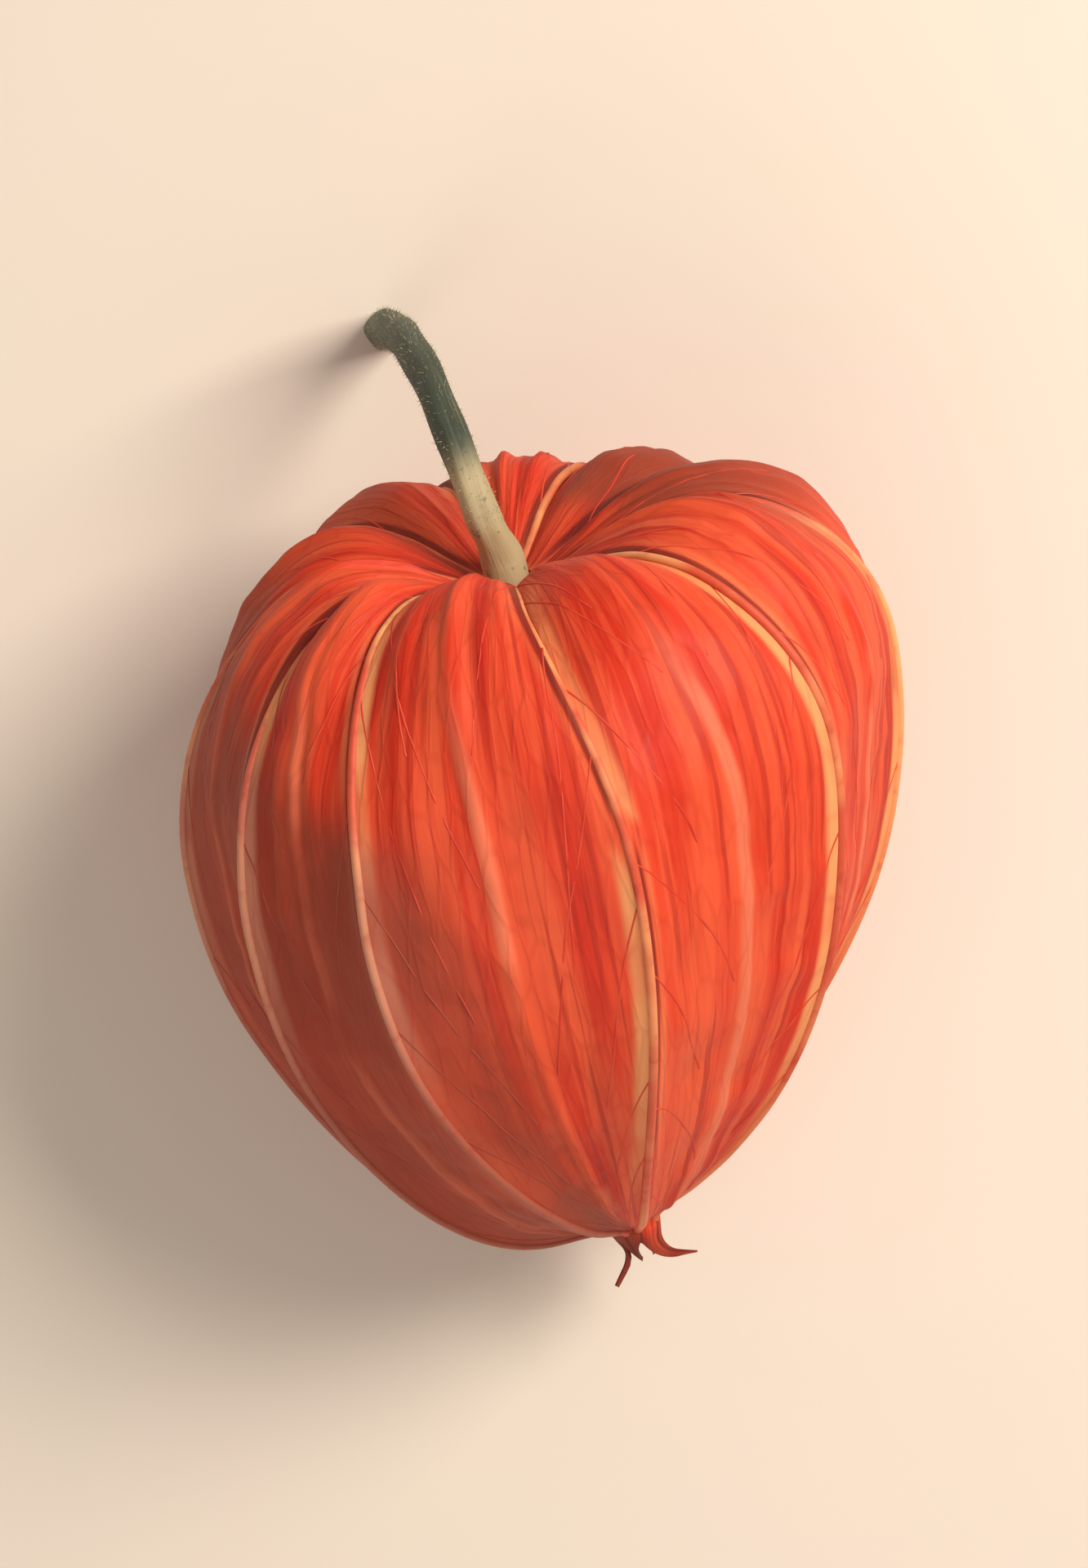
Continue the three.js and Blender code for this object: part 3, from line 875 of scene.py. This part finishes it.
def path_curves(name, paths):
    """A curve object with one open line for each path of points and radii."""
    curve = bpy.data.curves.new(name, "CURVE")
    curve.dimensions = "3D"
    for points, radii in paths:
        line = curve.splines.new("POLY")
        line.points.add(len(points) - 1)
        line.points.foreach_set("co", np.column_stack([points, np.ones(len(points))]).ravel())
        line.points.foreach_set("radius", radii)
    source = bpy.data.objects.new(name, curve)
    bpy.context.scene.collection.objects.link(source)
    return source


RIB_POINTS = 150
RIB_FROM = 0.35
RIB_TO = 16.4
RIB_END = 1.2  # sections over which a cord runs out by the tip
RIB_SUNK = 0.08


def make_ribs(look):
    """The ten cords that run from the stem to the tip."""
    paths = []
    for rib in range(PANELS):
        u = np.linspace(RIB_FROM, RIB_TO, RIB_POINTS)
        panel = np.full(u.shape, rib)
        lift = husk_relief(panel, np.zeros(u.shape), u, look)
        thick = smooth(u, RIB_FROM - 1, 5) * (1 - 0.55 * smooth(u, 9, RIB_TO))
        thick *= 1 - 0.8 * smooth(u, RIB_TO - RIB_END, RIB_TO)
        radii = thick * (0.9 + 0.1 * np.sin(2.6 * u + 1.9 * rib))
        points = pressed(skin(panel, np.zeros(u.shape), u, lift - RIB_SUNK), look.cord_radius)
        paths.append((points, radii))
    values = {"Cord Radius": look.cord_radius, "Sides": 12, "Material": rib_cord(look)}
    piece = only_shape("husk_ribs", path_curves("rib_paths", paths), cord_tree(), values)
    settle(piece, "husk")


VEIN_POINTS = 16
VEIN_STEP = 1.7
VEIN_ZONE = (2.4, 13.2)
VEIN_SLANT = 3.3
VEIN_REACH = 0.45
VEIN_SUNK = 0.035


def make_side_veins(look):
    """The thin side veins, which leave each rib on both sides and run towards the tip."""
    paths = []
    for panel in range(PANELS):
        for k, start in enumerate(np.arange(*VEIN_ZONE, VEIN_STEP)):
            for from_left in (True, False):
                turn = 2.1 * k + 1.3 * panel + 2.0 * from_left
                shift = 0.3 * math.sin(turn) + (0.0 if from_left else VEIN_STEP / 2)
                reach = VEIN_REACH * (0.8 + 0.2 * math.sin(1.7 * turn))
                slant = VEIN_SLANT * (0.85 + 0.3 * math.sin(2.9 * turn))
                t = np.linspace(0, 1, VEIN_POINTS)
                s = reach * t + 0.012 * t * np.sin(9 * t + turn)
                u = np.minimum(start + shift + slant * (0.6 * t + 0.4 * t * t), RIB_TO)
                places = s if from_left else 1 - s
                panels = np.full(t.shape, panel)
                lift = husk_relief(panels, places, u, look)
                points = pressed(skin(panels, places, u, lift - VEIN_SUNK), look.vein_radius)
                paths.append((points, 0.95 - 0.8 * t))
    values = {"Cord Radius": look.vein_radius, "Sides": 6, "Material": husk_vein(look)}
    piece = only_shape("husk_veins", path_curves("vein_paths", paths), cord_tree(), values)
    settle(piece, "husk")


# The stem and the berry

STEM_SIDES = 40
STEM_RINGS = 156
SEAT_RINGS = (0, 0.12, 0.88, 1)
NECK_AT = 2
SEAT_EDGE = 0.25 * MM
COLLAR = 0.27 * MM
COLLAR_UP = (2.05, 2.3)  # stations of the core line over which the collar rises
COLLAR_DOWN = (2.95, 3.7)
RIDGES = 5
KNOT = 0.05 * MM
STEM_OUT = (0.42, 0.97)  # the part of the stem's length that is downy


def bend_line():
    """The stem's core line in metres, with its radius, from the seat of the berry to the cut."""
    inside = (
        (DISC_TOP - DISC_DEPTH, DISC_RADIUS),
        (DISC_TOP, DISC_RADIUS),
        (DISC_TOP + 0.02, NECK_RADIUS),
        (SECTIONS[0][1] + NECK_LENGTH, NECK_RADIUS),
    )
    along = np.array([(0.0, place, 0.0) for place, _ in inside])
    outside = np.array(BEND_POINTS) * MM
    outside[:, 0] += CORE_FOOT.x
    outside[:, 1] += CORE_FOOT.y
    stations = np.concatenate([to_world(along), outside])
    radii = np.array([radius for _, radius in inside] + list(BEND_RADII)) * MM
    return stations, radii


def stem_rings(look):
    """Rings of the stem: its round seat and its neck, then the ribbed stalk and its cut end."""
    stations, radii = bend_line()
    last = len(stations) - 1
    at = np.concatenate([SEAT_RINGS, np.linspace(NECK_AT, last, STEM_RINGS)])
    centres = between(stations, at)
    radius = np.interp(at, np.arange(last + 1), radii)
    radius[[0, 3]] -= SEAT_EDGE
    ahead = np.gradient(centres, axis=0)
    ahead[:len(SEAT_RINGS)] = np.array(TILT_TURN @ Vector((0, 1, 0)))
    ahead /= np.linalg.norm(ahead, axis=1)[:, None]
    side = np.array((1.0, 0, 0)) - ahead * ahead[:, :1]
    side /= np.linalg.norm(side, axis=1)[:, None]
    up = np.cross(side, ahead)
    angle = np.arange(STEM_SIDES) * 2 * math.pi / STEM_SIDES
    grown = smooth(at, 2.6, 4.0)[:, None]
    twist = 0.5 * at[:, None]
    ridges = look.ridge * grown * np.cos(RIDGES * angle + twist)
    knots = KNOT * grown * np.sin(5.2 * at[:, None] + 2 * angle)
    collar = COLLAR * (smooth(at, *COLLAR_UP) * (1 - smooth(at, *COLLAR_DOWN)))
    reach = (radius + collar)[:, None] + ridges + knots
    rings = centres[:, None] + reach[..., None] * (
        side[:, None] * np.cos(angle)[:, None] + up[:, None] * np.sin(angle)[:, None]
    )
    rings[..., 2] = np.maximum(rings[..., 2], 0.0)
    return rings, at / last, angle


def capped(rings):
    """Points and faces of a tube with a point in the middle of each end."""
    count, sides = rings.shape[:2]
    points = np.concatenate([rings.reshape(-1, 3), [rings[0].mean(0)], [rings[-1].mean(0)]])
    faces = [tuple(f) for f in ring_faces(count, sides, False)]
    end = (count - 1) * sides
    for c in range(sides):
        d = (c + 1) % sides
        faces.append((c, d, count * sides))
        faces.append((end + d, end + c, count * sides + 1))
    return points, faces


def make_stem(look):
    """The stalk with its seat inside the husk, its collar at the husk and its cut end."""
    rings, length, angle = stem_rings(look)
    points, faces = capped(rings)
    piece = new_piece("stem_stalk", points, faces, stem_skin(look))
    grid = np.zeros(rings.shape[:2])
    places = np.stack([grid + np.sin(angle), grid + np.cos(angle), grid + length[:, None]], axis=-1)
    ends = np.array([(0, 0, length[0]), (0, 0, length[-1])])
    point_attribute(piece, "stem_place", np.concatenate([places.reshape(-1, 3), ends]))
    settle(piece, "stem")


def make_stem_down(look):
    """Fine hairs on the stalk outside the husk."""
    rings, length, _ = stem_rings(look)
    outside = rings[(length > STEM_OUT[0]) & (length < STEM_OUT[1])]
    faces = ring_faces(len(outside), STEM_SIDES, False)
    source = new_piece("stalk_outside", outside.reshape(-1, 3), faces, stem_down(look))
    values = {
        "Density": look.hairs_per_cm2 * 1e4,
        "Length": look.hair_length,
        "Thickness": 0.018 * MM,
        "Seed": 7,
        "Material": source.data.materials[0],
    }
    piece = only_shape("stem_down", source, down_tree(), values)
    settle(piece, "stem")


BERRY_RINGS = 64
BERRY_SIDES = 96
BERRY_OVAL = 0.006


def make_berry(look):
    """The round berry under its seat, with a dimple at the top."""
    angle = (np.arange(1, BERRY_RINGS) / BERRY_RINGS - 0.5) * math.pi
    dimple = BERRY_DIMPLE * smooth(np.sin(angle), 0.8, 1.0)
    radius = BERRY_RADIUS * np.cos(angle)
    height = BERRY_SQUASH * BERRY_RADIUS * np.sin(angle) - dimple + BERRY_ALONG
    round_ = np.arange(BERRY_SIDES) * 2 * math.pi / BERRY_SIDES
    lobed = radius[:, None] * (1 - BERRY_OVAL * (1 + np.cos(2 * round_)))
    rings = np.stack([
        lobed * np.sin(round_),
        np.zeros(lobed.shape) + height[:, None],
        lobed * np.cos(round_),
    ], axis=-1)
    rings = to_world(rings)[::-1]
    points, faces = capped(rings)
    piece = new_piece("berry_flesh", points, faces, berry_skin(look))
    settle(piece, "berry")


# The stage

def area_light(name, power, size, place, aim, colour):
    light = bpy.data.lights.new(name, "AREA")
    light.energy = power
    light.size = size
    light.color = colour
    lamp = bpy.data.objects.new(name, light)
    lamp.location = place
    lamp.rotation_euler = (aim - Vector(place)).to_track_quat("-Z", "Y").to_euler()
    bpy.context.scene.collection.objects.link(lamp)


def make_stage(look):
    """A pale floor, soft light from the upper right and the camera above."""
    low, high = (Vector(corner) for corner in CAD_BOX)
    middle = (low + high) / 2
    half = look.floor_width / 2
    corners = [(-half, -half, low.z), (half, -half, low.z), (half, half, low.z), (-half, half, low.z)]
    floor = new_piece("floor", corners, [(0, 1, 2, 3)], floor_paint(look))
    area_light("key", look.key_power, 0.16, (0.22, 0.09, 0.3), middle, (1.0, 0.96, 0.9))
    area_light("fill", look.fill_power, 0.5, (-0.18, -0.32, 0.34), middle, (1.0, 0.97, 0.93))
    scene = bpy.context.scene
    world = bpy.data.worlds.new("Studio")
    world.use_nodes = True
    background = world.node_tree.nodes["Background"]
    background.inputs["Color"].default_value = (1.0, 0.97, 0.93, 1.0)
    background.inputs["Strength"].default_value = look.sky
    scene.world = world
    scene.view_settings.view_transform = "Standard"
    lens = bpy.data.cameras.new("camera")
    lens.lens = look.lens
    camera = bpy.data.objects.new("camera", lens)
    scene.collection.objects.link(camera)
    away = look.frame_height / 2 / math.tan(math.atan(lens.sensor_width / 2 / look.lens))
    camera.location = (middle.x, middle.y, middle.z + away)
    camera.rotation_euler = (0, 0, -look.roll)
    scene.camera = camera


# What a user may change

def length_value(name, description, default):
    return bpy.props.FloatProperty(
        name=name, description=description, default=default, min=0, subtype="DISTANCE", unit="LENGTH",
    )


def colour_value(name, description, default):
    return bpy.props.FloatVectorProperty(
        name=name, description=description, default=default, min=0, max=1, subtype="COLOR", size=3,
    )


class HuskLook(bpy.types.PropertyGroup):
    """Sizes and colours of the husk."""

    wall: length_value("Wall", "Thickness of the papery wall", 0.3 * MM)
    cord_radius: length_value("Rib cord", "Radius of a rib's cord at its thickest", 0.3 * MM)
    vein_radius: length_value("Side vein", "Radius of a side vein at its root", 0.075 * MM)
    pleat: length_value("Pleats", "Height of the long soft folds", 0.13 * MM)
    crinkle: length_value("Crinkles", "Height of the uneven waves of the paper", 0.35 * MM)
    red: colour_value("Red", "Main colour of the paper", srgb(206, 44, 17))
    light_red: colour_value("Light red", "Paper between the fibres", srgb(228, 86, 48))
    # Deep red is also painted shade in the hollow round the stem.
    deep_red: colour_value("Deep red", "Streaks and creases", srgb(164, 26, 10))
    vein: colour_value("Vein", "Side veins", srgb(214, 66, 34))
    # Maroon is painted shade over the lower left and the hollow's right side.
    maroon: colour_value("Maroon", "Where the husk has dulled", srgb(150, 57, 34))
    # Pink is a painted highlight down the middle of each panel.
    highlight_pink: colour_value("Pink", "Faded strips along the middles of the panels", srgb(234, 122, 86))
    # Pale orange is the rib cords' paler colour and the painted highlight beside the ribs.
    pale: colour_value("Pale orange", "Light stretches of the ribs and beside them", srgb(240, 162, 102))
    rib_red: colour_value("Rib red", "Low stretches of the ribs", srgb(206, 76, 42))
    # Ash is the painted highlight beside the ribs where it lies in painted shade.
    ash: colour_value("Ash", "Light strips beside the ribs on the dulled side", srgb(188, 118, 92))
    # Line is a painted shadow along one side of each rib.
    line: colour_value("Line", "The dark crease beside each rib", srgb(92, 26, 16))
    hub: colour_value("Hub", "Paper round the stem", srgb(214, 150, 84))
    dry: colour_value("Dry tip", "Dried ends of the teeth", srgb(110, 44, 30))


class StemLook(bpy.types.PropertyGroup):
    """Sizes and colours of the stem."""

    ridge: length_value("Ridges", "Height of the ridges along the stalk", 0.06 * MM)
    hair_length: length_value("Hair", "Length of the stalk's fine hairs", 0.32 * MM)
    hairs_per_cm2: bpy.props.FloatProperty(
        name="Hairs", description="Hairs on a square centimetre", default=500, min=0,
    )
    tan: colour_value("Tan", "The stalk by the husk", srgb(178, 160, 118))
    # Green is the stalk's own colour darkened with painted shadow; dark deepens that painted shadow too.
    green: colour_value("Green", "The stalk further out", srgb(72, 80, 62))
    dark: colour_value("Dark", "Blotches and specks", srgb(54, 60, 46))
    light: colour_value("Light", "Raised fibres and hairs", srgb(160, 152, 112))
    cut: colour_value("Cut", "The pith at the cut end", srgb(224, 214, 176))


class BerryLook(bpy.types.PropertyGroup):
    """Colours of the berry."""

    orange: colour_value("Orange", "Main colour of the berry", srgb(236, 104, 26))
    red: colour_value("Red", "Riper patches", srgb(214, 58, 20))
    pale: colour_value("Pale", "Faint lines between the seeds", srgb(246, 170, 90))


class StageLook(bpy.types.PropertyGroup):
    """The floor, the light and the camera."""

    floor_width: length_value("Floor", "Width of the floor", 3.0)
    floor: colour_value("Floor colour", "Colour of the surface", srgb(226, 211, 192))
    floor_warm: colour_value("Floor tone", "Second tone of the surface", srgb(228, 210, 194))
    key_power: bpy.props.FloatProperty(name="Key", description="Power of the main light", default=1.44)
    fill_power: bpy.props.FloatProperty(name="Fill", description="Power of the fill light", default=0.82)
    sky: bpy.props.FloatProperty(name="Sky", description="Strength of the even light", default=0.35)
    lens: bpy.props.FloatProperty(name="Lens", description="Focal length in millimetres", default=120)
    frame_height: length_value("Frame", "Height that the picture shows", 0.101)
    roll: bpy.props.FloatProperty(
        name="Roll",
        description="How far the fruit's core line leans to the left in the picture",
        default=math.radians(11.3), subtype="ANGLE", unit="ROTATION",
    )


LOOKS = {"husk": HuskLook, "stem": StemLook, "berry": BerryLook, "stage": StageLook}


def look_of(context, name):
    return getattr(context.scene, f"physalis_{name}")


class PHYSALIS_OT_husk_skin(bpy.types.Operator):
    """Make the papery wall of the husk"""

    bl_idname = "physalis.husk_skin"
    bl_label = "Husk skin"

    def execute(self, context):
        make_husk_skin(look_of(context, "husk"))
        return {"FINISHED"}


class PHYSALIS_OT_ribs(bpy.types.Operator):
    """Make the cords of the ten ribs"""

    bl_idname = "physalis.ribs"
    bl_label = "Husk ribs"

    def execute(self, context):
        make_ribs(look_of(context, "husk"))
        return {"FINISHED"}


class PHYSALIS_OT_side_veins(bpy.types.Operator):
    """Make the side veins between the ribs"""

    bl_idname = "physalis.side_veins"
    bl_label = "Husk side veins"

    def execute(self, context):
        make_side_veins(look_of(context, "husk"))
        return {"FINISHED"}


class PHYSALIS_OT_stem(bpy.types.Operator):
    """Make the stalk"""

    bl_idname = "physalis.stem"
    bl_label = "Stem"

    def execute(self, context):
        make_stem(look_of(context, "stem"))
        return {"FINISHED"}


class PHYSALIS_OT_stem_down(bpy.types.Operator):
    """Make the fine hairs of the stalk"""

    bl_idname = "physalis.stem_down"
    bl_label = "Stem hairs"

    def execute(self, context):
        make_stem_down(look_of(context, "stem"))
        return {"FINISHED"}


class PHYSALIS_OT_berry(bpy.types.Operator):
    """Make the berry inside the husk"""

    bl_idname = "physalis.berry"
    bl_label = "Berry"

    def execute(self, context):
        make_berry(look_of(context, "berry"))
        return {"FINISHED"}


class PHYSALIS_OT_stage(bpy.types.Operator):
    """Make the floor, the lights and the camera"""

    bl_idname = "physalis.stage"
    bl_label = "Stage"

    def execute(self, context):
        make_stage(look_of(context, "stage"))
        return {"FINISHED"}


OPERATORS = (
    PHYSALIS_OT_stage,
    PHYSALIS_OT_husk_skin,
    PHYSALIS_OT_ribs,
    PHYSALIS_OT_side_veins,
    PHYSALIS_OT_stem,
    PHYSALIS_OT_stem_down,
    PHYSALIS_OT_berry,
)


class PHYSALIS_PT_panel(bpy.types.Panel):
    """The pieces of the fruit and what may be changed on them"""

    bl_idname = "PHYSALIS_PT_panel"
    bl_label = "Physalis"
    bl_space_type = "VIEW_3D"
    bl_region_type = "UI"
    bl_category = "Physalis"

    def draw(self, context):
        for operator in OPERATORS:
            self.layout.operator(operator.bl_idname)
        for name, group in LOOKS.items():
            box = self.layout.box()
            box.label(text=name.capitalize())
            for value in group.__annotations__:
                box.prop(look_of(context, name), value)


def register():
    for group in LOOKS.values():
        bpy.utils.register_class(group)
    for name, group in LOOKS.items():
        setattr(bpy.types.Scene, f"physalis_{name}", bpy.props.PointerProperty(type=group))
    for operator in OPERATORS:
        bpy.utils.register_class(operator)
    bpy.utils.register_class(PHYSALIS_PT_panel)


def unregister():
    bpy.utils.unregister_class(PHYSALIS_PT_panel)
    for operator in reversed(OPERATORS):
        bpy.utils.unregister_class(operator)
    for name, group in LOOKS.items():
        delattr(bpy.types.Scene, f"physalis_{name}")
        bpy.utils.unregister_class(group)


def main():
    register()
    bpy.ops.physalis.stage()
    bpy.ops.physalis.husk_skin()
    bpy.ops.physalis.ribs()
    bpy.ops.physalis.side_veins()
    bpy.ops.physalis.stem()
    bpy.ops.physalis.stem_down()
    bpy.ops.physalis.berry()


if __name__ == "__main__":
    main()
